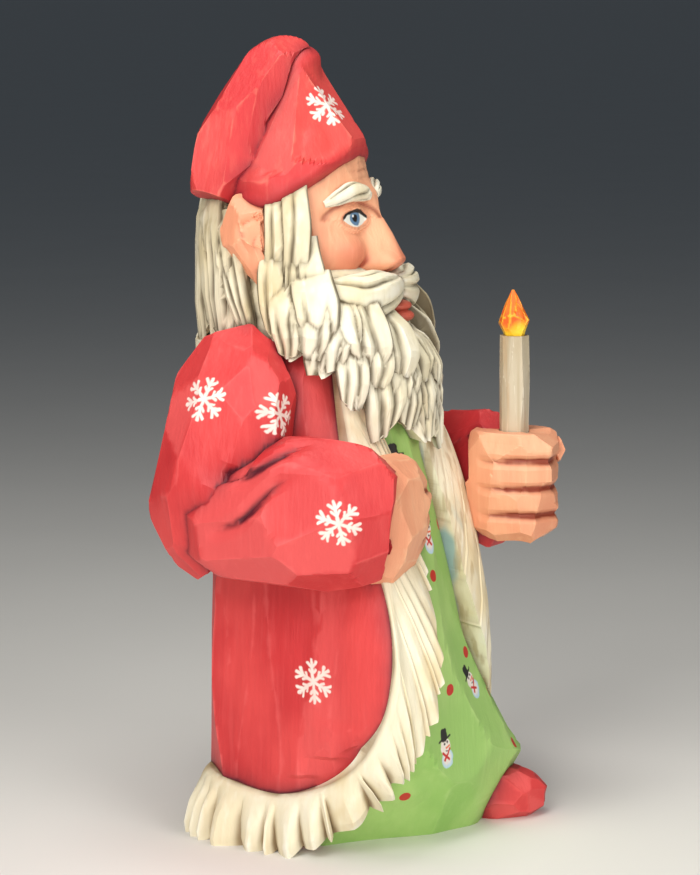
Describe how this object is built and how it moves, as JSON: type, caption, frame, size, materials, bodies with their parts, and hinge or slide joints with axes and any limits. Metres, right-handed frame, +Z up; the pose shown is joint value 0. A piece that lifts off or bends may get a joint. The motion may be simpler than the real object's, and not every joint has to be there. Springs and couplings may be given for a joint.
{
  "type": "santa figurine",
  "caption": "Hand-carved and painted wooden figure of a bearded man in a fur-trimmed coat and cap, standing with a lit candle held out in the left fist.",
  "frame": {"origin": "on the table, on the upright axis of the body, in the middle of the flat underside", "axes": "+Z up, the figure looks along -Y, +X is the figure's own left-hand side, where the candle is"},
  "size_m": [0.1265, 0.11, 0.25],
  "materials": {
    "painted_wood": "satin paint over carved basswood",
    "candle_wood": "satin paint over whittled dowel"
  },
  "bodies": {
    "root": {"carved_figure": "painted_wood", "candle": "candle_wood"}
  },
  "joints": []
}
